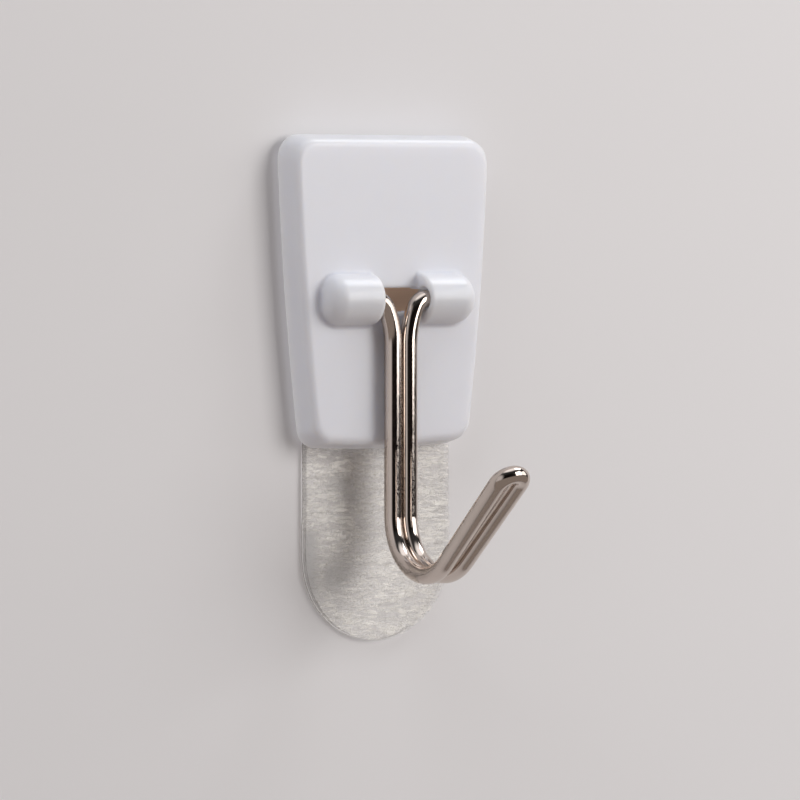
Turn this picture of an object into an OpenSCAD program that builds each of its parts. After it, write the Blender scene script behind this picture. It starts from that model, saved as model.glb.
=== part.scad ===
// Adhesive wall hook: a moulded base plate with two half-round sleeves, a doubled
// wire hook that swings in the sleeves, and a clear stretch-release strip with a pull tab.
// Millimetres. The wall is the plane Y = 0, the hook stands out towards -Y, Z is up,
// and the swing axis of the wire hook is at Z = 0.

/* [Base plate] */
// Height of the base plate
plate_h = 28.4; // [26:0.1:34]
// Width across the back at the top edge
plate_top_w = 22.2; // [20.5:0.1:26]
// Width across the back at the bottom edge
plate_bottom_w = 17.7; // [16.8:0.1:22]
// Outward bow of the bottom edge
bottom_bow = 0.35; // [0:0.05:0.6]
// Outward bow of each side edge
side_bow = 0.35; // [0:0.05:0.8]
// Thickness from the back face to the front face
plate_t = 2.5; // [2.2:0.1:3.5]
// Radius of the two top corners
top_corner_r = 2.2; // [1.2:0.1:4]
// Radius of the two bottom corners
bottom_corner_r = 1.5; // [1:0.1:2.5]
// Inset of the front outline from the back outline, from the draft of the sides
draft_inset = 0.55; // [0.1:0.05:0.9]
// Radius of the rounded edge round the front face
front_edge_r = 0.5; // [0.2:0.05:1]
// Height of the swing axis above the bottom edge
axis_height = 13.6; // [11:0.1:16]

/* [Sleeves] */
// Radius of each half-round sleeve
sleeve_r = 2.3; // [2.2:0.05:3]
// Distance of the sleeves' own axis in front of the plate's face
sleeve_lift = 0.1; // [0:0.05:0.3]
// Radius of the edge round each sleeve's outer end
sleeve_end_r = 1.3; // [0.8:0.05:1.8]
// Distance across the outer ends of the two sleeves
sleeves_span = 16.1; // [15.7:0.1:17.2]
// Radius of the edge round each sleeve's mouth
mouth_edge_r = 0.3; // [0.1:0.05:0.4]
// Width of the window between the sleeves' mouths
window_w = 4.9; // [4.7:0.1:5.1]
// Height of the window through the plate
window_h = 2.2; // [2:0.05:2.6]
// Distance of the window's middle below the swing axis
window_drop = 0.1; // [0:0.02:0.2]
// Radius of the bell at each sleeve's mouth
bell_r = 1.1; // [1.05:0.05:1.15]
// Depth of the bell at each sleeve's mouth
bell_len = 0.7; // [0.5:0.05:1]
// Depth of the wire channel from a sleeve's mouth to its closed end
channel_len = 4.3; // [3.8:0.1:4.5]

/* [Wire hook] */
// Diameter of the wire
wire_d = 1.6; // [1.3:0.05:1.7]
// Gap between the two strands of the shank
shank_gap = 0.1; // [0.05:0.05:0.4]
// Gap between the two strands where they join at the tip
tip_gap = 0.8; // [0.2:0.05:1.2]
// Distance of the swing axis in front of the plate's face
axis_lift = 1; // [0.95:0.05:1.1]
// Radial clearance of the wire in its channel
swing_clearance = 0.05; // [0.02:0.01:0.1]
// End clearance between a leg and the closed end of its channel
end_clearance = 0.3; // [0.1:0.05:0.6]
// Gap between a leg's bend and the flat face of the sleeve's mouth
mouth_clearance = 0.24; // [0.16:0.02:0.3]
// Drop from the swing axis to the underside of the hook
hook_drop = 25.3; // [20:0.1:32]
// Radius of the hook's bottom bend, to the middle of the wire
hook_bend_r = 5; // [3.5:0.1:7]
// Angle of the hook's arm above the horizontal
arm_angle = 43; // [20:1:70]
// Straight length of the hook's arm
arm_len = 10.8; // [6:0.1:16]
// Angle by which the legs spread before they turn into the sleeves
spread_angle = 24; // [18:1:28]
// Radius of the bend that turns each leg into its sleeve, to the middle of the wire
leg_bend_r = 1.5; // [1.4:0.05:1.6]

/* [Adhesive strip] */
// Width of the strip behind the plate
strip_w = 15.6; // [14.4:0.1:16.2]
// Overall length of the strip with its tab
strip_len = 44; // [40:0.5:45]
// Length of the tab below its shoulder
tab_len = 11.8; // [10:0.1:15]
// Width by which the tab's films stand out past each side of the strip
tab_margin = 0.1; // [0.05:0.05:0.6]
// Length of the sloped shoulder at the top of the tab
tab_shoulder = 1.2; // [0.6:0.1:2]
// Drop from the plate's bottom edge to the end of the tab
tab_drop = 17.4; // [15:0.1:24]
// Thickness of the stretchable core
core_t = 0.5; // [0.3:0.05:0.8]
// Thickness of each adhesive layer and of each tab film
layer_t = 0.15; // [0.1:0.05:0.25]

/* [Hidden] */

// Depths in front of the wall
strip_t = core_t + 2 * layer_t;
face_depth = strip_t + plate_t;
axis_depth = face_depth + axis_lift;

// Heights
plate_bottom = -axis_height;
plate_top = plate_bottom + plate_h;
tab_end = plate_bottom - tab_drop;
strip_top = tab_end + strip_len;
tab_top = tab_end + tab_len;

// Wire: half spacing of the strands, the bends of the legs and the hook
wire_r = wire_d / 2;
strand_x = (wire_d + shank_gap) / 2;
tip_x = (wire_d + tip_gap) / 2;
channel_r = wire_r + swing_clearance;
mouth_x = window_w / 2;
leg_bend_x = mouth_x - mouth_clearance + leg_bend_r - wire_r;
leg_end_x = mouth_x + channel_len - end_clearance;
spread_x = leg_bend_x - leg_bend_r * cos(spread_angle);
spread_r = (spread_x - strand_x) / (1 - cos(spread_angle));
shank_top = -spread_r * sin(spread_angle) - leg_bend_r * (1 - sin(spread_angle));
hook_centre = -(hook_drop - wire_r - hook_bend_r);

// Arm of the hook, measured in the plane of one strand from its shank
arm_start = [hook_bend_r * (1 + sin(arm_angle)), hook_centre - hook_bend_r * cos(arm_angle)];
arm_end = arm_start + arm_len * [cos(arm_angle), sin(arm_angle)];
// Each strand's plane is turned about its shank, so that the strands open towards the tip
open_angle = asin((tip_x - strand_x) / arm_end.x);
tip_tilt = atan2(sin(arm_angle), cos(arm_angle) * cos(open_angle));
tip_lean = asin(sin(open_angle) * cos(arm_angle));
tip_bend_r = tip_x / cos(tip_lean);

// A bend of the wire is this much slimmer, and runs this far into the lengths beside it
bend_slim = 0.01;
bend_overlap = 0.05;

// Hollow behind the window: front wall left over it, reach past the window, step inside its edges
hollow_wall = 1;
hollow_margin = 1.5;
hollow_step = 0.05;

// Drawing settings
bow_steps = 8;
edge_steps = 6;
slab_t = 0.01;
cut_extra = 1;
$fn = 48;

// Places a front view drawing at a depth in front of the wall, growing towards the viewer
module at_depth(depth) {
    translate([0, -depth, 0]) rotate([90, 0, 0]) children();
}

// Half width of the plate's back outline at a share of its height, bowed outwards
function half_width(share) =
    (plate_bottom_w + (plate_top_w - plate_bottom_w) * share) / 2
    + 4 * side_bow * share * (1 - share);

// Height of the bottom edge at a share of its half width, lowest in the middle
function bottom_edge(share) = plate_bottom + bottom_bow * share * share;

// Back outline of the plate with sharp corners
module sharp_outline() {
    shares = [for (i = [0 : bow_steps]) i / bow_steps];
    corner = bottom_edge(1);
    right = [for (s = shares) [half_width(s), corner + s * (plate_top - corner)]];
    left = [for (i = [bow_steps : -1 : 0]) [-right[i].x, right[i].y]];
    bottom = [for (s = shares) [(s - 0.5) * plate_bottom_w, bottom_edge(2 * s - 1)]];
    polygon(concat(right, left, bottom));
}

module rounded_outline(corner_r) {
    offset(r = corner_r) offset(delta = -corner_r) sharp_outline();
}

// Half of the drawing plane, above or below the swing axis
module half_plane(above) {
    side = 2 * max(plate_h, plate_top_w);
    translate([-side / 2, above ? 0 : -side]) square(side);
}

// Outline of the plate, drawn in all round by an inset
module plate_outline(inset) {
    offset(delta = -inset) union() {
        intersection() {
            rounded_outline(top_corner_r);
            half_plane(true);
        }
        intersection() {
            rounded_outline(bottom_corner_r);
            half_plane(false);
        }
    }
}

// Thin slice of the plate at a height above its back face
module plate_slice(height, inset) {
    at_depth(strip_t + height - slab_t) linear_extrude(slab_t) plate_outline(inset);
}

// Plate with drafted sides and a rounded front edge
module plate_blank() {
    hull() {
        plate_slice(slab_t, 0);
        for (i = [0 : edge_steps]) {
            turn = 90 * i / edge_steps;
            plate_slice(plate_t - front_edge_r * (1 - sin(turn)),
                        draft_inset + front_edge_r * (1 - cos(turn)));
        }
    }
}

// Quarter of a disc, for a rounded edge in a turned profile
module quarter_disc(r) {
    intersection() {
        circle(r);
        square(r);
    }
}

// Right-hand sleeve: half round, with a rounded mouth and a blunt, rounded outer end
module sleeve() {
    len = sleeves_span / 2 - mouth_x;
    end = len - sleeve_end_r;
    intersection() {
        translate([mouth_x, -face_depth - sleeve_lift, 0]) rotate([0, 90, 0]) rotate_extrude() {
            square([sleeve_r - mouth_edge_r, mouth_edge_r]);
            translate([sleeve_r - mouth_edge_r, mouth_edge_r]) mirror([0, 1]) quarter_disc(mouth_edge_r);
            translate([0, mouth_edge_r]) square([sleeve_r, end - mouth_edge_r]);
            translate([0, end]) square([sleeve_r - sleeve_end_r, sleeve_end_r]);
            translate([sleeve_r - sleeve_end_r, end]) quarter_disc(sleeve_end_r);
        }
        at_depth(strip_t + plate_t / 2)
            linear_extrude(plate_t / 2 + sleeve_lift + sleeve_r + cut_extra)
                square([2 * sleeves_span, 4 * sleeve_r], center = true);
    }
}

// Window between the mouths, right through the plate
module window() {
    at_depth(strip_t - cut_extra) linear_extrude(plate_t + sleeve_lift + sleeve_r + 2 * cut_extra)
        translate([0, -window_drop]) square([window_w, window_h], center = true);
}

// Channel for the wire's legs: round at the front, open at the back
module leg_channel() {
    span = window_w + 2 * channel_len;
    translate([-span / 2, -axis_depth, 0]) rotate([0, 90, 0]) cylinder(h = span, r = channel_r);
    at_depth(strip_t - cut_extra) linear_extrude(axis_depth - strip_t + cut_extra)
        square([span, 2 * channel_r], center = true);
}

// Hollow in the plate's back, round the window
module back_hollow() {
    at_depth(strip_t - cut_extra) linear_extrude(plate_t - hollow_wall + cut_extra)
        translate([0, -window_drop])
            square([window_w + 2 * hollow_margin, window_h - 2 * hollow_step], center = true);
}

// Bell at the mouth of the right-hand sleeve, where the leg's bend turns
module bell() {
    translate([mouth_x, -axis_depth, 0]) rotate([0, 90, 0])
        cylinder(h = bell_len, r1 = bell_r, r2 = channel_r);
}

module base_plate() {
    color("white") difference() {
        union() {
            plate_blank();
            sleeve();
            mirror([1, 0, 0]) sleeve();
        }
        window();
        leg_channel();
        back_hollow();
        bell();
        mirror([1, 0, 0]) bell();
    }
}

// Bent length of wire in the drawing plane, round the origin
module wire_bend(r, from, to, slim = bend_slim) {
    overlap = bend_overlap / r * 180 / PI;
    rotate([0, 0, from - overlap])
        rotate_extrude(angle = to - from + 2 * overlap)
            translate([r, 0]) circle(wire_r - slim);
}

// Straight length of wire along +Y of the drawing plane
module wire_straight(len) {
    rotate([-90, 0, 0]) cylinder(h = len, d = wire_d);
}

// Right-hand leg: spreads from the shank and turns into the sleeve
module leg() {
    at_depth(axis_depth) {
        translate([strand_x + spread_r, shank_top]) wire_bend(spread_r, 180 - spread_angle, 180, bend_slim / 2);
        translate([leg_bend_x, -leg_bend_r]) wire_bend(leg_bend_r, 90, 180 - spread_angle);
        translate([leg_bend_x, 0]) rotate([0, 0, -90]) wire_straight(leg_end_x - leg_bend_x);
    }
}

// Right-hand strand of the shank, bottom bend and arm
module hook_strand() {
    translate([strand_x, -axis_depth, 0]) rotate([0, 0, open_angle]) rotate([90, 0, -90]) {
        translate([0, hook_centre]) wire_straight(shank_top - hook_centre);
        translate([hook_bend_r, hook_centre]) wire_bend(hook_bend_r, 180, 270 + arm_angle);
        translate(arm_start) rotate([0, 0, arm_angle - 90]) wire_straight(arm_len);
    }
}

// Bend that joins the two strands at the tip
module tip_bend() {
    translate([0, -axis_depth - arm_end.x * cos(open_angle), arm_end.y])
        rotate([180 - tip_tilt, 0, 0])
            translate([0, tip_bend_r * sin(tip_lean)])
                wire_bend(tip_bend_r, -tip_lean, 180 + tip_lean);
}

module wire_hook() {
    color("silver") union() {
        leg();
        hook_strand();
        mirror([1, 0, 0]) {
            leg();
            hook_strand();
        }
        tip_bend();
    }
}

// Outline of the strip above the tab
module strip_area() {
    translate([-strip_w / 2, tab_top]) square([strip_w, strip_top - tab_top]);
}

// Lower half of a disc, for the round end of the strip
module round_end(r) {
    intersection() {
        circle(r);
        translate([-r, -r]) square([2 * r, r]);
    }
}

// Outline of the tab's films, with sloped shoulders and a round end
module tab_area() {
    half = strip_w / 2 + tab_margin;
    translate([0, tab_end + half]) round_end(half);
    polygon([[-strip_w / 2, tab_top], [-half, tab_top - tab_shoulder], [-half, tab_end + half],
             [half, tab_end + half], [half, tab_top - tab_shoulder], [strip_w / 2, tab_top]]);
}

module stretch_core() {
    core_end = tab_end + tab_margin + strip_w / 2;
    color("gainsboro", 0.6) at_depth(layer_t) linear_extrude(core_t) {
        translate([0, core_end]) round_end(strip_w / 2);
        translate([-strip_w / 2, core_end]) square([strip_w, strip_top - core_end]);
    }
}

module wall_adhesive() {
    color("whitesmoke", 0.6) linear_layer(0) strip_area();
}

module plate_adhesive() {
    color("whitesmoke", 0.6) linear_layer(layer_t + core_t) strip_area();
}

module tab_film_front() {
    color("gainsboro", 0.6) linear_layer(layer_t + core_t) tab_area();
}

module tab_film_back() {
    color("gainsboro", 0.6) linear_layer(0) tab_area();
}

// One thin layer of the strip at a depth in front of the wall
module linear_layer(depth) {
    at_depth(depth) linear_extrude(layer_t) children();
}

base_plate();
wire_hook();
stretch_core();
wall_adhesive();
plate_adhesive();
tab_film_front();
tab_film_back();
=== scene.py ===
from math import asin, atan2, cos, pi, radians, sin

import bmesh
import bpy
from mathutils import Matrix, Vector


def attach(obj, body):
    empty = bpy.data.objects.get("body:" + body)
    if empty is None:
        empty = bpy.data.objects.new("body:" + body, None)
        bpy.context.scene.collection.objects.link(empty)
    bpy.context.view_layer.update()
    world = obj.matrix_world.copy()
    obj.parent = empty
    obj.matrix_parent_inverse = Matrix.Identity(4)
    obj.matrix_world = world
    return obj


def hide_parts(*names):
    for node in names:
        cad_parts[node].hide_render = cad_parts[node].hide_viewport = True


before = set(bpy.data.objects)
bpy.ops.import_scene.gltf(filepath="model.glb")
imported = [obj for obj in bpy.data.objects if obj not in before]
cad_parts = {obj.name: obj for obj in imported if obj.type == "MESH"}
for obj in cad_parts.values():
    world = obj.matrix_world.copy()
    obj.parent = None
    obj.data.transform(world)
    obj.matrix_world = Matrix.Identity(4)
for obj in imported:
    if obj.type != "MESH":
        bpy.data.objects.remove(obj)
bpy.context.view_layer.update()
scene = bpy.context.scene
mm = 0.001  # pieces are drawn in millimetres and scaled once
weldGap = 0.0005  # points closer than this are one point, in millimetres
backwards = Vector((0, 1, 0))  # into the wall


# small helpers

def finishMesh(name, bm, materials, smooth=True):
    bmesh.ops.scale(bm, vec=(mm, mm, mm), verts=bm.verts)
    mesh = bpy.data.meshes.new(name)
    bm.to_mesh(mesh)
    bm.free()
    for face in mesh.polygons:
        face.use_smooth = smooth
    piece = bpy.data.objects.new(name, mesh)
    scene.collection.objects.link(piece)
    for material in materials:
        mesh.materials.append(material)
    return piece


def applyModifiers(piece):
    depsgraph = bpy.context.evaluated_depsgraph_get()
    mesh = bpy.data.meshes.new_from_object(piece.evaluated_get(depsgraph))
    piece.modifiers.clear()
    oldMesh = piece.data
    piece.data = mesh
    bpy.data.meshes.remove(oldMesh)
    mesh.name = piece.name


def closeHoles(bm):
    bmesh.ops.holes_fill(bm, edges=[e for e in bm.edges if e.is_boundary])


def cleanShell(bm):
    bmesh.ops.remove_doubles(bm, verts=bm.verts, dist=weldGap)
    bmesh.ops.recalc_face_normals(bm, faces=bm.faces)


def newMaterial(name):
    material = bpy.data.materials.new(name)
    material.use_nodes = True
    tree = material.node_tree
    return material, tree, tree.nodes["Principled BSDF"]


def addNode(tree, kind, settings=None, **values):
    node = tree.nodes.new(kind)
    for key, value in (settings or {}).items():
        setattr(node, key, value)
    for key, value in values.items():
        node.inputs[key].default_value = value
    return node


def addMath(tree, operation, first, second):
    node = tree.nodes.new("ShaderNodeMath")
    node.operation = operation
    for socket, value in zip(node.inputs, (first, second)):
        if isinstance(value, (int, float)):
            socket.default_value = value
        else:
            tree.links.new(value, socket)
    return node.outputs[0]


def addRange(tree, value, low, high, newLow, newHigh, smooth=False):
    node = tree.nodes.new("ShaderNodeMapRange")
    node.interpolation_type = "SMOOTHSTEP" if smooth else "LINEAR"
    tree.links.new(value, node.inputs["Value"])
    limits = {"From Min": low, "From Max": high, "To Min": newLow, "To Max": newHigh}
    for key, number in limits.items():
        node.inputs[key].default_value = number
    return node.outputs["Result"]


def addMix(tree, factor, first, second):
    node = tree.nodes.new("ShaderNodeMix")
    node.data_type = "RGBA"
    tree.links.new(factor, node.inputs["Factor"])
    colourA, colourB, mixed = node.inputs[6], node.inputs[7], node.outputs[2]  # the node's colour sockets
    for socket, colour in ((colourA, first), (colourB, second)):
        if isinstance(colour, tuple):
            socket.default_value = (*colour, 1)
        else:
            tree.links.new(colour, socket)
    return mixed


def addBump(tree, height, strength, distance, shader):
    bump = addNode(tree, "ShaderNodeBump", Strength=strength, Distance=distance)
    tree.links.new(height, bump.inputs["Height"])
    tree.links.new(bump.outputs["Normal"], shader.inputs["Normal"])


# shared effects

def makeGroup(name, inputs, outputs):
    group = bpy.data.node_groups.new(name, "ShaderNodeTree")
    for label, value in inputs:
        socket = group.interface.new_socket(name=label, in_out="INPUT", socket_type="NodeSocketFloat")
        socket.default_value = value
    for label in outputs:
        group.interface.new_socket(name=label, in_out="OUTPUT", socket_type="NodeSocketFloat")
    return group, group.nodes.new("NodeGroupInput"), group.nodes.new("NodeGroupOutput")


def makeSurfaceGrain():
    # broad clouding and a fine grain, for moulded, plated and painted surfaces
    group, entry, leave = makeGroup("surfaceGrain", [("Cloud Scale", 200), ("Grain Scale", 6000)],
                                    ["Cloud", "Grain"])
    place = addNode(group, "ShaderNodeTexCoord")
    for label, detail in (("Cloud", 3), ("Grain", 2)):
        noise = addNode(group, "ShaderNodeTexNoise", Detail=detail, Roughness=0.55)
        group.links.new(place.outputs["Object"], noise.inputs["Vector"])
        group.links.new(entry.outputs[label + " Scale"], noise.inputs["Scale"])
        group.links.new(noise.outputs["Fac"], leave.inputs[label])
    return group


wrinkle = dict(
    fine=dict(across=820, up=3300, detail=3, distortion=0.9),
    broad=dict(across=240, up=1100, detail=2, distortion=0.8),
    patches=dict(across=110, up=160, detail=1, distortion=0),
    roughness=0.6, broadShare=1.5,
    rimX=(-0.0072, -0.0058), tabZ=(-0.0212, -0.0204),
    calm=(0.44, 0.34), calmMost=0.7, glint=(0.52, 0.61), trough=(0.47, 0.36),
)


def makeFilmWrinkles():
    # silky cross wrinkles of a stretched clear film, smooth along the tab's left rim
    group, entry, leave = makeGroup("filmWrinkles", [("Fineness", 1), ("Seed", 0)],
                                    ["Height", "Glint", "Trough", "Smooth"])
    place = addNode(group, "ShaderNodeTexCoord")
    xyz = addNode(group, "ShaderNodeSeparateXYZ")
    group.links.new(place.outputs["Object"], xyz.inputs["Vector"])
    x, z = xyz.outputs["X"], xyz.outputs["Z"]

    def stretchedNoise(across, up, detail, distortion):
        stretch = addNode(group, "ShaderNodeMapping", Scale=(across, across, up))
        group.links.new(place.outputs["Object"], stretch.inputs["Vector"])
        noise = addNode(group, "ShaderNodeTexNoise", {"noise_dimensions": "4D"},
                        Detail=detail, Roughness=wrinkle["roughness"], Distortion=distortion)
        group.links.new(stretch.outputs["Vector"], noise.inputs["Vector"])
        group.links.new(entry.outputs["Seed"], noise.inputs["W"])
        group.links.new(entry.outputs["Fineness"], noise.inputs["Scale"])
        return noise.outputs["Fac"]

    fine = stretchedNoise(**wrinkle["fine"])
    broad = stretchedNoise(**wrinkle["broad"])
    patches = stretchedNoise(**wrinkle["patches"])
    # the left rim is smooth, but only on the tab
    rim = addRange(group, x, *wrinkle["rimX"], 1, 0, True)
    rim = addMath(group, "MULTIPLY", rim, addRange(group, z, *wrinkle["tabZ"], 1, 0, True))
    calm = addRange(group, patches, *wrinkle["calm"], 0, wrinkle["calmMost"], True)
    smooth = addMath(group, "MAXIMUM", rim, calm)
    rough = addRange(group, smooth, 0, 1, 1, 0)
    # the glint and trough masks place a painted highlight and painted shade on the wrinkles
    glint = addMath(group, "MULTIPLY", addRange(group, fine, *wrinkle["glint"], 0, 1, True), rough)
    trough = addMath(group, "MULTIPLY", addRange(group, fine, *wrinkle["trough"], 0, 1, True), rough)
    height = addMath(group, "ADD", fine, addMath(group, "MULTIPLY", broad, wrinkle["broadShare"]))
    height = addMath(group, "MULTIPLY", height, rough)
    for label, value in (("Height", height), ("Glint", glint), ("Trough", trough), ("Smooth", smooth)):
        group.links.new(value, leave.inputs[label])
    return group


surfaceGrain = makeSurfaceGrain()
filmWrinkles = makeFilmWrinkles()


def placeGroup(tree, group, **values):
    return addNode(tree, "ShaderNodeGroup", {"node_tree": group}, **values)


def placeGrain(tree, finish):
    scales = {"Cloud Scale": finish["clouds"], "Grain Scale": finish["grains"]}
    return placeGroup(tree, surfaceGrain, **scales)


# finishes

moulding = dict(
    clouds=160, grains=5200, shade=(0.792, 0.798, 0.850), light=(0.822, 0.828, 0.875),
    cloudSpan=(0.2, 0.8), rough=(0.29, 0.32), refraction=1.48,
    scatter=(1.0, 0.95, 0.9), scatterDepth=0.0012, bump=(0.06, 0.00004),
)


def makeWhitePlastic():
    m = moulding
    material, tree, shader = newMaterial("whitePlastic")
    grain = placeGrain(tree, m)
    cloud = grain.outputs["Cloud"]
    tree.links.new(addMix(tree, cloud, m["shade"], m["light"]), shader.inputs["Base Color"])
    tree.links.new(addRange(tree, cloud, *m["cloudSpan"], *m["rough"]), shader.inputs["Roughness"])
    shader.inputs["IOR"].default_value = m["refraction"]
    shader.inputs["Subsurface Weight"].default_value = 1.0
    shader.inputs["Subsurface Radius"].default_value = m["scatter"]
    shader.inputs["Subsurface Scale"].default_value = m["scatterDepth"]
    addBump(tree, grain.outputs["Grain"], *m["bump"], shader)
    return material


plating = dict(
    clouds=420, grains=3600, shade=(0.57, 0.495, 0.445), light=(0.65, 0.575, 0.525),
    grainSpan=(0.3, 0.7), rough=(0.06, 0.13), bump=(0.03, 0.00002),
)


def makePlatedWire():
    m = plating
    material, tree, shader = newMaterial("platedWire")
    grain = placeGrain(tree, m)
    colour = addMix(tree, grain.outputs["Cloud"], m["shade"], m["light"])
    tree.links.new(colour, shader.inputs["Base Color"])
    shader.inputs["Metallic"].default_value = 1
    rough = addRange(tree, grain.outputs["Grain"], *m["grainSpan"], *m["rough"])
    tree.links.new(rough, shader.inputs["Roughness"])
    addBump(tree, grain.outputs["Grain"], *m["bump"], shader)
    return material


# glint is a painted highlight and shade is painted shade, both laid on the film's wrinkles
clearFilm = dict(
    clear=(0.60, 0.57, 0.51), shade=(0.34, 0.31, 0.26), calm=(0.40, 0.40, 0.385), glint=(1.0, 0.975, 0.92),
    cover=0.04, shadeCover=0.09, calmCover=0.06, glintCover=0.42,
    rough=(0.24, 0.14), refraction=1.45, bump=(0.35, 0.0001),
)


def addFilm(tree, shader, film, seed):
    # colour and cover of a clear wrinkled layer: the glint colour is a painted highlight on the crests, the
    # shade colour painted shade in the troughs
    wrinkles = placeGroup(tree, filmWrinkles, Fineness=1, Seed=seed)
    glint, trough, smooth = (wrinkles.outputs[label] for label in ("Glint", "Trough", "Smooth"))
    colour = addMix(tree, trough, film["clear"], film["shade"])
    colour = addMix(tree, smooth, colour, film["calm"])
    colour = addMix(tree, glint, colour, film["glint"])
    cover = addRange(tree, glint, 0, 1, film["cover"], film["glintCover"])
    cover = addMath(tree, "ADD", cover, addRange(tree, trough, 0, 1, 0, film["shadeCover"]))
    cover = addMath(tree, "ADD", cover, addRange(tree, smooth, 0, 1, 0, film["calmCover"]))
    shader.inputs["IOR"].default_value = film["refraction"]
    addBump(tree, wrinkles.outputs["Height"], *film["bump"], shader)
    return colour, cover, smooth


def makeClearFilm(name, film, seed):
    material, tree, shader = newMaterial(name)
    colour, cover, smooth = addFilm(tree, shader, film, seed)
    tree.links.new(colour, shader.inputs["Base Color"])
    light = addNode(tree, "ShaderNodeLightPath")
    clear = addRange(tree, light.outputs["Is Shadow Ray"], 0, 1, 1, 0)  # only the cut edges cast a shadow
    tree.links.new(addMath(tree, "MULTIPLY", cover, clear), shader.inputs["Alpha"])
    tree.links.new(addRange(tree, smooth, 0, 1, *film["rough"]), shader.inputs["Roughness"])
    return material


# tan tint on the adhesive's front behind the plate's window
windowTint = dict(
    low=(0.93, 0.61, 0.41), high=(1.0, 0.71, 0.49), clouds=900, grains=6000,
    perMetre=(215, 0, 740), edge=(0.9, 1.05), fromBehind=0.15, rough=(0.3, 0.8),
)


def makeWindowTintedAdhesive(name, film, tintSettings, seed):
    # the front is tinted tan where the plate's window leaves it open, faint when seen from behind
    material, tree, shader = newMaterial(name)
    colour, cover, _ = addFilm(tree, shader, film, seed)
    place = addNode(tree, "ShaderNodeTexCoord")
    squash = addNode(tree, "ShaderNodeMapping", Scale=tintSettings["perMetre"])
    tree.links.new(place.outputs["Object"], squash.inputs["Vector"])
    reach = addNode(tree, "ShaderNodeVectorMath", {"operation": "ABSOLUTE"})
    tree.links.new(squash.outputs["Vector"], reach.inputs[0])
    xyz = addNode(tree, "ShaderNodeSeparateXYZ")
    tree.links.new(reach.outputs["Vector"], xyz.inputs["Vector"])
    farthest = addMath(tree, "MAXIMUM", xyz.outputs["X"], xyz.outputs["Z"])
    tinted = addRange(tree, farthest, *tintSettings["edge"], 1, 0, True)
    faceSide = addNode(tree, "ShaderNodeNewGeometry")
    faint = addRange(tree, faceSide.outputs["Backfacing"], 0, 1, 1, tintSettings["fromBehind"])
    tinted = addMath(tree, "MULTIPLY", tinted, faint)
    grain = placeGrain(tree, tintSettings)
    tintColour = addMix(tree, grain.outputs["Cloud"], tintSettings["low"], tintSettings["high"])
    tree.links.new(addMix(tree, tinted, colour, tintColour), shader.inputs["Base Color"])
    tree.links.new(addMath(tree, "MAXIMUM", tinted, cover), shader.inputs["Alpha"])
    tree.links.new(addRange(tree, tinted, 0, 1, *tintSettings["rough"]), shader.inputs["Roughness"])
    return material


# dark grey of the cut edges, partly painted shade along the strip's rim
cutEdgeAndShade = dict(
    clouds=700, grains=4000, shade=(0.12, 0.105, 0.09), light=(0.19, 0.17, 0.15),
    span=(0.3, 0.7), rough=(0.25, 0.4), fromInside=0.2, shadowCover=0.85,
)


def makeCutEdgeAndShade(name, lowCover, highCover):
    # the strip's cut edge shows as a dark grey line, partly its own edge and partly painted shade along the
    # rim; faint where it is seen through the strip
    m = cutEdgeAndShade
    material, tree, shader = newMaterial(name)
    grain = placeGrain(tree, m)
    cloud = grain.outputs["Cloud"]
    tree.links.new(addMix(tree, cloud, m["shade"], m["light"]), shader.inputs["Base Color"])
    rough = addRange(tree, grain.outputs["Grain"], *m["span"], *m["rough"])
    tree.links.new(rough, shader.inputs["Roughness"])
    faceSide = addNode(tree, "ShaderNodeNewGeometry")
    faint = addRange(tree, faceSide.outputs["Backfacing"], 0, 1, 1, m["fromInside"])
    cover = addRange(tree, cloud, *m["span"], lowCover, highCover)
    light = addNode(tree, "ShaderNodeLightPath")
    shadow = addRange(tree, light.outputs["Is Shadow Ray"], 0, 1, 0, m["shadowCover"])
    cover = addMath(tree, "MAXIMUM", cover, shadow)
    tree.links.new(addMath(tree, "MULTIPLY", cover, faint), shader.inputs["Alpha"])
    return material


tabSeed, adhesiveSeed = 3.7, 8.2
whitePlastic = makeWhitePlastic()
platedWire = makePlatedWire()
coreFilm = makeClearFilm("coreFilm", clearFilm, 0)
tabFilm = makeClearFilm("tabFilm", clearFilm, tabSeed)
adhesiveFilm = makeClearFilm("adhesiveFilm", clearFilm, adhesiveSeed)
windowTintedAdhesive = makeWindowTintedAdhesive("windowTintedAdhesive", clearFilm, windowTint, adhesiveSeed)
coreEdge = makeCutEdgeAndShade("coreEdge", lowCover=0.34, highCover=0.46)
# the back layers' edges get a denser cover: painted shade for the contact shadow these layers do not cast
wallEdgeAndShade = makeCutEdgeAndShade("wallEdgeAndShade", lowCover=0.6, highCover=0.75)
filmEdge = makeCutEdgeAndShade("filmEdge", lowCover=0.22, highCover=0.32)
print("finishes made")


# base plate with its sleeves

plate = dict(
    topWidth=22.2, bottomWidth=17.7, top=14.8, bottom=-13.6, sideBow=0.35, bottomBow=0.35,
    backDepth=0.8, thickness=2.5, draft=0.55, topCorner=2.2, bottomCorner=1.5, frontEdge=0.5,
    sleeveRadius=2.3, sleeveLift=0.1, sleeveEnd=8.05, endEdge=1.75, mouth=2.45, mouthEdge=0.3,
    windowLow=-1.2, windowHigh=1.0, windowReach=7.5, axisDepth=4.3, boreRadius=0.85, boreEnd=6.75,
    bellRadius=1.1, bellDepth=0.7, hollowDepth=2.3, hollowReach=1.5, hollowStep=0.05, lap=0.02,
    sideCuts=7, underCuts=5, cornerSteps=10, frontSteps=6, mouthSteps=8, endSteps=16,
    around=64, boreAround=48, near=1, hair=0.01, voxel=0.13, softening=2,
)


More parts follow.
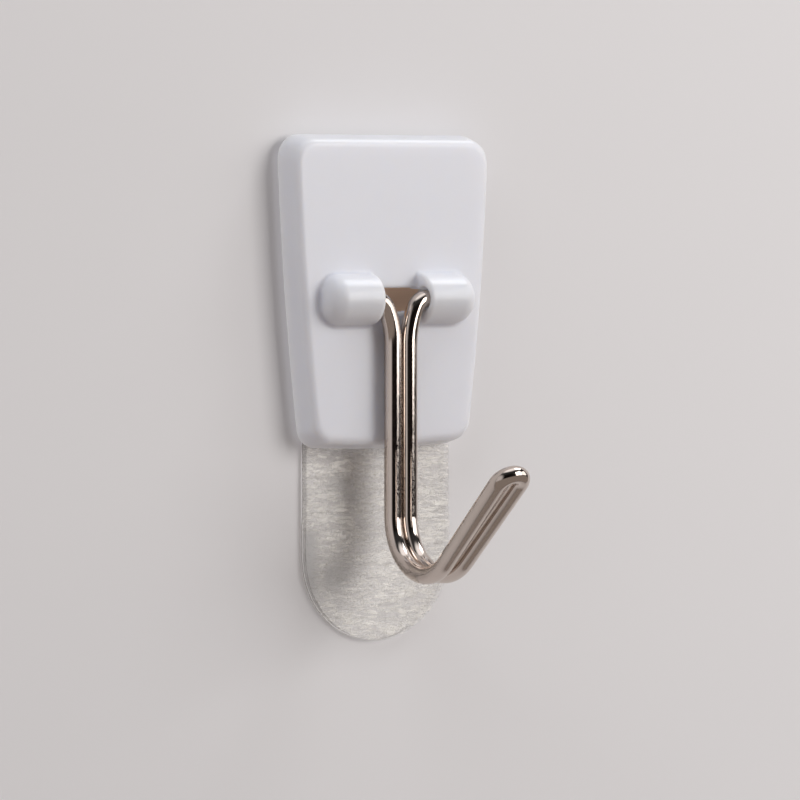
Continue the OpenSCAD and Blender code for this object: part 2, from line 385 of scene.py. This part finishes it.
def drawPlateBlank(bm):
    p = plate
    near = p["near"]
    corner = p["bottom"] + p["bottomBow"]
    height = p["top"] - corner
    places = [(-p["bottomWidth"] / 2, corner), (p["bottomWidth"] / 2, corner),
              (p["topWidth"] / 2, p["top"]), (-p["topWidth"] / 2, p["top"])]
    outline = [bm.verts.new((x, -p["backDepth"], z)) for x, z in places]
    face = bm.faces.new(outline)
    sides = [e for e in face.edges if abs(e.verts[0].co.z - e.verts[1].co.z) > near]
    under = [e for e in face.edges if max(v.co.z for v in e.verts) < corner + near and e not in sides]
    bmesh.ops.subdivide_edges(bm, edges=sides, cuts=p["sideCuts"])
    bmesh.ops.subdivide_edges(bm, edges=under, cuts=p["underCuts"])
    for v in bm.verts:
        share = (v.co.z - corner) / height
        if v.co.z > corner + p["hair"]:
            v.co.x += (1 if v.co.x > 0 else -1) * 4 * p["sideBow"] * share * (1 - share)
        else:
            v.co.z -= p["bottomBow"] * (1 - (2 * v.co.x / p["bottomWidth"]) ** 2)
    # drafted sides, then the corners and the front edge are rounded
    region = bmesh.ops.dissolve_faces(bm, faces=bm.faces[:])["region"]
    front = bmesh.ops.extrude_face_region(bm, geom=region)
    frontVerts = [g for g in front["geom"] if isinstance(g, bmesh.types.BMVert)]
    bmesh.ops.translate(bm, vec=(0, -p["thickness"], 0), verts=frontVerts)
    middle = (p["top"] + p["bottom"]) / 2
    for v in frontVerts:
        v.co.x -= p["draft"] * max(-1, min(1, v.co.x / (p["bottomWidth"] / 2)))
        v.co.z = middle + (v.co.z - middle) * (1 - 2 * p["draft"] / height)
    closeHoles(bm)

    def isCorner(edge, isTop):
        first, second = (v.co for v in edge.verts)
        if abs(first.y - second.y) < near:
            return False
        if isTop:
            return min(first.z, second.z) > p["top"] - near
        return max(first.z, second.z) < corner + near and abs(first.x) > p["bottomWidth"] / 2 - near

    rounding = dict(affect="EDGES", profile=0.5, material=-1)
    for isTop, radius in ((True, p["topCorner"]), (False, p["bottomCorner"])):
        posts = [e for e in bm.edges if isCorner(e, isTop)]
        bmesh.ops.bevel(bm, geom=posts, offset=radius, segments=p["cornerSteps"], **rounding)
    frontY = -p["backDepth"] - p["thickness"] + p["hair"]
    rim = [e for e in bm.edges if all(v.co.y < frontY for v in e.verts)]
    bmesh.ops.bevel(bm, geom=rim, offset=p["frontEdge"], segments=p["frontSteps"], clamp_overlap=False,
                    **rounding)
    cleanShell(bm)


def drawSleeve(bm, side):
    # half profile turned once round the sleeve's own axis
    p = plate
    axisY = -p["backDepth"] - p["thickness"] - p["sleeveLift"]
    radius, edge, endEdge = p["sleeveRadius"], p["mouthEdge"], p["endEdge"]
    profile = [(p["mouth"], 0)]
    for i in range(p["mouthSteps"] + 1):
        turn = radians(90 * i / p["mouthSteps"])
        profile.append((p["mouth"] + edge * (1 - cos(turn)), radius - edge + edge * sin(turn)))
    for i in range(p["endSteps"] + 1):
        turn = radians(90 * i / p["endSteps"])
        profile.append((p["sleeveEnd"] - endEdge * (1 - sin(turn)), radius - endEdge * (1 - cos(turn))))
    profile.append((p["sleeveEnd"], 0))
    points = [bm.verts.new((side * x, axisY, r)) for x, r in profile]
    line = [bm.edges.new(pair) for pair in zip(points, points[1:])]
    bmesh.ops.spin(bm, geom=points + line, cent=(0, axisY, 0), axis=(1, 0, 0), angle=2 * pi,
                   steps=p["around"], use_merge=True)


def drawBore(bm):
    p = plate
    axis = Matrix.Translation((0, -p["axisDepth"], 0)) @ Matrix.Rotation(pi / 2, 4, "Y")
    bmesh.ops.create_cone(bm, cap_ends=True, segments=p["boreAround"], radius1=p["boreRadius"],
                          radius2=p["boreRadius"], depth=2 * p["boreEnd"], matrix=axis)


def drawBell(bm, side):
    p = plate
    place = Matrix.Translation((side * (p["mouth"] + p["bellDepth"] / 2 - p["lap"]), -p["axisDepth"], 0))
    bmesh.ops.create_cone(bm, cap_ends=True, segments=p["boreAround"], radius1=p["bellRadius"],
                          radius2=p["boreRadius"] - p["lap"] / 2, depth=p["bellDepth"] + 2 * p["lap"],
                          matrix=place @ Matrix.Rotation(side * pi / 2, 4, "Y"))


def drawBox(bm, low, high):
    size = [h - l for l, h in zip(low, high)]
    centre = [(h + l) / 2 for l, h in zip(low, high)]
    bmesh.ops.create_cube(bm, size=1, matrix=Matrix.Translation(centre) @ Matrix.Diagonal((*size, 1)))


def drawChannel(bm):
    p = plate
    drawBox(bm, (-p["boreEnd"], -p["axisDepth"], -p["boreRadius"]), (p["boreEnd"], 0, p["boreRadius"]))


def drawWindow(bm):
    p = plate
    drawBox(bm, (-p["mouth"], -p["windowReach"], p["windowLow"]), (p["mouth"], 0, p["windowHigh"]))


def drawHollow(bm):
    # behind the window the plate is hollow from the back
    p = plate
    reach, step = p["mouth"] + p["hollowReach"], p["hollowStep"]
    drawBox(bm, (-reach, -p["hollowDepth"], p["windowLow"] + step), (reach, 0, p["windowHigh"] - step))


def combine(piece, operation, draw, *args):
    bm = bmesh.new()
    draw(bm, *args)
    cleanShell(bm)
    tool = finishMesh("tool", bm, [])
    change = piece.modifiers.new("change", "BOOLEAN")
    change.operation, change.solver, change.object = operation, "EXACT", tool
    applyModifiers(piece)
    bpy.data.objects.remove(tool)


def makeBasePlate():
    bm = bmesh.new()
    drawPlateBlank(bm)
    piece = finishMesh("basePlate", bm, [whitePlastic])
    for side in (1, -1):
        combine(piece, "UNION", drawSleeve, side)
    combine(piece, "DIFFERENCE", drawWindow)
    combine(piece, "DIFFERENCE", drawBore)
    combine(piece, "DIFFERENCE", drawChannel)
    combine(piece, "DIFFERENCE", drawHollow)
    for side in (1, -1):
        combine(piece, "DIFFERENCE", drawBell, side)
    # an even skin, relaxed a little, gives the small moulded radii in every corner
    skin = piece.modifiers.new("skin", "REMESH")
    skin.mode, skin.voxel_size, skin.use_smooth_shade = "VOXEL", plate["voxel"] * mm, True
    relax = piece.modifiers.new("relax", "SMOOTH")
    relax.factor, relax.iterations = 0.5, plate["softening"]
    applyModifiers(piece)
    if not piece.data.materials:
        piece.data.materials.append(whitePlastic)
    for face in piece.data.polygons:
        face.use_smooth = True
    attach(piece, "base")
    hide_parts("base_plate")
    print("basePlate", len(piece.data.polygons), "faces")


# wire hook

wire = dict(
    diameter=1.6, shankGap=0.1, tipGap=0.8, axisDepth=4.3, legEnd=6.45, mouth=2.45, mouthClearance=0.24,
    legBend=1.5, spreadAngle=24, drop=25.3, hookBend=5.0, armAngle=43, armLength=10.8, around=48,
    legSteps=14, spreadSteps=8, hookSteps=44, tipSteps=18, joinGap=0.002,
)


def makeWireHook():
    w = wire
    radius = w["diameter"] / 2
    strandX = (w["diameter"] + w["shankGap"]) / 2
    tipX = (w["diameter"] + w["tipGap"]) / 2
    spread, arm = radians(w["spreadAngle"]), radians(w["armAngle"])
    y = -w["axisDepth"]
    bendX = w["mouth"] - w["mouthClearance"] + w["legBend"] - radius
    spreadX = bendX - w["legBend"] * cos(spread)
    spreadRadius = (spreadX - strandX) / (1 - cos(spread))
    shankTop = -spreadRadius * sin(spread) - w["legBend"] * (1 - sin(spread))
    hookZ = -(w["drop"] - radius - w["hookBend"])
    armEnd = Vector((w["hookBend"] * (1 + sin(arm)), hookZ - w["hookBend"] * cos(arm)))
    armEnd += w["armLength"] * Vector((cos(arm), sin(arm)))
    opening = asin((tipX - strandX) / armEnd.x)  # the strands open towards the tip
    outward = Vector((sin(opening), -cos(opening), 0))
    tipTilt = atan2(sin(arm), cos(arm) * cos(opening))
    tipLean = asin(sin(opening) * cos(arm))
    tipRadius = tipX / cos(tipLean)

    bm = bmesh.new()
    start = Matrix.Translation((w["legEnd"], y, 0)) @ Matrix.Rotation(pi / 2, 4, "Y")
    bmesh.ops.create_circle(bm, cap_ends=False, segments=w["around"], radius=radius, matrix=start)
    ring = bm.edges[:]

    def runStraight(ring, vector):
        grown = bmesh.ops.extrude_edge_only(bm, edges=ring)["geom"]
        verts = [g for g in grown if isinstance(g, bmesh.types.BMVert)]
        bmesh.ops.translate(bm, vec=vector, verts=verts)
        return [g for g in grown if isinstance(g, bmesh.types.BMEdge) and all(v in verts for v in g.verts)]

    def runBend(ring, centre, axis, angle, steps):
        turned = bmesh.ops.spin(bm, geom=ring, cent=centre, axis=axis, angle=angle, steps=steps)["geom_last"]
        return [g for g in turned if isinstance(g, bmesh.types.BMEdge)]

    ring = runStraight(ring, (bendX - w["legEnd"], 0, 0))
    ring = runBend(ring, (bendX, y, -w["legBend"]), -backwards, pi / 2 - spread, w["legSteps"])
    ring = runBend(ring, (strandX + spreadRadius, y, shankTop), -backwards, spread, w["spreadSteps"])
    ring = runStraight(ring, (0, 0, hookZ - shankTop))
    hookCentre = Vector((strandX, y, hookZ)) + w["hookBend"] * outward
    ring = runBend(ring, hookCentre, outward.cross((0, 0, 1)), pi / 2 + arm, w["hookSteps"])
    ring = runStraight(ring, w["armLength"] * (cos(arm) * outward + sin(arm) * Vector((0, 0, 1))))
    along = Vector((0, -cos(tipTilt), sin(tipTilt)))
    tipCentre = Vector((0, y + armEnd.x * outward.y, armEnd.y)) + along * tipRadius * sin(tipLean)
    runBend(ring, tipCentre, Vector((1, 0, 0)).cross(along), pi / 2 + tipLean, w["tipSteps"])

    # the other strand is the mirror image, joined at the tip
    bmesh.ops.mirror(bm, geom=bm.verts[:] + bm.edges[:] + bm.faces[:], axis="X", merge_dist=w["joinGap"])
    closeHoles(bm)
    cleanShell(bm)
    piece = finishMesh("wireHook", bm, [platedWire])
    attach(piece, "hook")
    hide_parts("wire_hook")
    print("wireHook", len(piece.data.polygons), "faces")


# adhesive strip

strip = dict(
    width=15.6, tabMargin=0.1, shoulder=1.2, top=13.0, tabTop=-19.2, end=-31.0,
    layer=0.15, core=0.5, airGap=0.006, edgeSteps=48,
)


def makeStripLayer(name, node, depth, thickness, half, top, end, shoulder, front, edge, back):
    s = strip
    bm = bmesh.new()
    isTab = end is not None
    low = end + half if isTab else s["tabTop"]
    y = -depth - s["airGap"]
    right = bm.verts.new((half, y, low))
    if isTab:
        spun = bmesh.ops.spin(bm, geom=[right], cent=(0, y, low), axis=backwards, angle=pi,
                              steps=s["edgeSteps"])
        left = next(g for g in spun["geom_last"] if isinstance(g, bmesh.types.BMVert))
    else:
        left = bm.verts.new((-half, y, low))
        bm.edges.new((right, left))
    rightSide, leftSide = [right], [left]
    if shoulder:
        rightSide.append(bm.verts.new((half, y, top - shoulder)))
        leftSide.append(bm.verts.new((-half, y, top - shoulder)))
    topHalf = s["width"] / 2
    rightSide.append(bm.verts.new((topHalf, y, top)))
    leftSide.append(bm.verts.new((-topHalf, y, top)))
    for chain in (rightSide, leftSide, [rightSide[-1], leftSide[-1]]):
        for pair in zip(chain, chain[1:]):
            bm.edges.new(pair)
    bmesh.ops.edgeloop_fill(bm, edges=bm.edges)
    grown = bmesh.ops.extrude_face_region(bm, geom=bm.faces[:])["geom"]
    frontVerts = [g for g in grown if isinstance(g, bmesh.types.BMVert)]
    bmesh.ops.translate(bm, vec=(0, -thickness + 2 * s["airGap"], 0), verts=frontVerts)
    closeHoles(bm)
    cleanShell(bm)
    for face in bm.faces:  # 0 is the front, 1 the cut edge, 2 the back
        face.material_index = 0 if face.normal.y < -0.5 else 2 if face.normal.y > 0.5 else 1
    piece = finishMesh(name, bm, [front, edge, back], smooth=False)
    piece.visible_shadow = edge == coreEdge  # only the core shades the wall beside it
    piece.visible_diffuse = False
    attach(piece, "base")
    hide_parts(node)


def makeStrip():
    s = strip
    half = s["width"] / 2
    front = s["layer"] + s["core"]
    wide = half + s["tabMargin"]
    makeStripLayer("stretchCore", "stretch_core", s["layer"], s["core"], half, s["top"],
                   s["end"] + s["tabMargin"], 0, coreFilm, coreEdge, coreFilm)
    adhesives = (("wallAdhesive", "wall_adhesive", 0, adhesiveFilm, wallEdgeAndShade),
                 ("plateAdhesive", "plate_adhesive", front, windowTintedAdhesive, filmEdge))
    for name, node, depth, finish, edge in adhesives:
        makeStripLayer(name, node, depth, s["layer"], half, s["top"], None, 0,
                       finish, edge, adhesiveFilm)
    tabFilms = (("tabFilmBack", "tab_film_back", 0, wallEdgeAndShade),
                ("tabFilmFront", "tab_film_front", front, filmEdge))
    for name, node, depth, edge in tabFilms:
        makeStripLayer(name, node, depth, s["layer"], wide, s["tabTop"], s["end"], s["shoulder"],
                       tabFilm, edge, tabFilm)
    print("strip layers made")


makeBasePlate()
makeWireHook()
makeStrip()


# wall, light and camera

studio = dict(
    wallColour=(0.90, 0.885, 0.895), wallShade=(0.87, 0.855, 0.865), wallHalf=1.5, wallGap=0.00002,
    aim=(0, -0.004, -0.006), clouds=14, grains=2600, roughness=0.9, specular=0.1,
)
softboxes = dict(
    keyLight=dict(place=(0.308, -0.503, 0.160), size=(0.32, 0.39), power=1.93, colour=(1.0, 0.985, 0.975)),
    sideLight=dict(place=(0.535, -0.285, 0.129), size=(0.3, 0.31), power=0.55, colour=(1.0, 0.985, 0.975)),
    roofLight=dict(place=(0.3435, -0.092, 0.508), size=(0.25, 0.25), power=1.2, colour=(0.96, 0.98, 1.0)),
    fillLight=dict(place=(-0.361, -0.168, 0.475), size=(0.4, 0.4), power=1.1, colour=(0.96, 0.98, 1.0),
                   mirrored=False),
)


def makeWall():
    # seen from the front it is a painted wall; from behind it lets the view and the light through
    material, tree, shader = newMaterial("paintedWall")
    grain = placeGrain(tree, studio)
    colour = addMix(tree, grain.outputs["Cloud"], studio["wallShade"], studio["wallColour"])
    tree.links.new(colour, shader.inputs["Base Color"])
    shader.inputs["Roughness"].default_value = studio["roughness"]
    shader.inputs["Specular IOR Level"].default_value = studio["specular"]
    light = addNode(tree, "ShaderNodeLightPath")
    faceSide = addNode(tree, "ShaderNodeNewGeometry")
    through = addMath(tree, "MAXIMUM", light.outputs["Is Shadow Ray"], light.outputs["Is Diffuse Ray"])
    through = addMath(tree, "MAXIMUM", through, faceSide.outputs["Backfacing"])
    clear = addNode(tree, "ShaderNodeBsdfTransparent")
    mix = addNode(tree, "ShaderNodeMixShader")
    tree.links.new(through, mix.inputs["Fac"])
    tree.links.new(shader.outputs["BSDF"], mix.inputs[1])
    tree.links.new(clear.outputs["BSDF"], mix.inputs[2])
    tree.links.new(mix.outputs["Shader"], tree.nodes["Material Output"].inputs["Surface"])
    bm = bmesh.new()
    half = studio["wallHalf"] / mm
    turn = Matrix.Translation((0, studio["wallGap"] / mm, 0)) @ Matrix.Rotation(pi / 2, 4, "X")
    bmesh.ops.create_grid(bm, x_segments=1, y_segments=1, size=half, matrix=turn)
    for face in bm.faces:
        if face.normal.y > 0:
            face.normal_flip()
    finishMesh("wall", bm, [material], smooth=False)


def faceTo(holder, place, target):
    holder.location = place
    holder.rotation_euler = (Vector(target) - Vector(place)).to_track_quat("-Z", "Y").to_euler()


def addSoftbox(name, place, size, power, colour, mirrored=True):
    lamp = bpy.data.lights.new(name, "AREA")
    lamp.shape, lamp.size, lamp.size_y = "RECTANGLE", size[0], size[1]
    lamp.energy, lamp.color = power, colour
    holder = bpy.data.objects.new(name, lamp)
    faceTo(holder, place, studio["aim"])
    holder.visible_glossy = mirrored  # the fill is too broad to show in the wire
    scene.collection.objects.link(holder)


# each band covers the directions past a limit on one axis, with a soft edge
room = dict(
    dark=(0.008, 0.006, 0.0055), backdrop=(0.80, 0.79, 0.78),
    ceiling=(1.4, 1.4, 1.42), ceilingSpan=(0.77, 0.95),
    bands=dict(
        above=("Z", 0.35, 0.65, (0.04, 0.04, 0.042)),
        left=("X", -0.66, -0.88, (0.66, 0.64, 0.645)),
        right=("X", 0.78, 0.9, (0.06, 0.055, 0.053)),
        below=("Z", -0.08, -0.17, (0.30, 0.26, 0.235)),
        behind=("Y", -0.05, 0.25, (0.48, 0.465, 0.46)),
    ),
)


def makeRoom():
    # dark in front and above, pale to the left and behind, warm below; plain pale backdrop for the camera
    world = bpy.data.worlds.new("room")
    scene.world = world
    world.use_nodes = True
    tree = world.node_tree
    out = tree.nodes["Background"]
    place = addNode(tree, "ShaderNodeTexCoord")
    xyz = addNode(tree, "ShaderNodeSeparateXYZ")
    tree.links.new(place.outputs["Generated"], xyz.inputs["Vector"])
    colour = room["dark"]
    for axis, low, high, tint in room["bands"].values():
        share = addRange(tree, xyz.outputs[axis], low, high, 0, 1, True)
        colour = addMix(tree, share, colour, tint)
    light = addNode(tree, "ShaderNodeLightPath")
    # the bright ceiling shows only in reflections; the lamps stand for its light
    ceiling = addRange(tree, xyz.outputs["Z"], *room["ceilingSpan"], 0, 1, True)
    ceiling = addMath(tree, "MULTIPLY", ceiling, light.outputs["Is Glossy Ray"])
    colour = addMix(tree, ceiling, colour, room["ceiling"])
    seen = addMath(tree, "MAXIMUM", light.outputs["Is Camera Ray"], light.outputs["Is Transmission Ray"])
    tree.links.new(addMix(tree, seen, colour, room["backdrop"]), out.inputs["Color"])


view = dict(place=(-0.23775, -0.3437, 0.0090), target=(0.00292, 0, -0.0093), lens=207.75, sensor=36)


def addCamera():
    lens = bpy.data.cameras.new("camera")
    lens.lens, lens.sensor_width = view["lens"], view["sensor"]
    camera = bpy.data.objects.new("camera", lens)
    faceTo(camera, view["place"], view["target"])
    scene.collection.objects.link(camera)
    scene.camera = camera


makeWall()
for name, softbox in softboxes.items():
    addSoftbox(name, **softbox)
makeRoom()
addCamera()
scene.view_settings.view_transform = "Standard"
print("studio set")
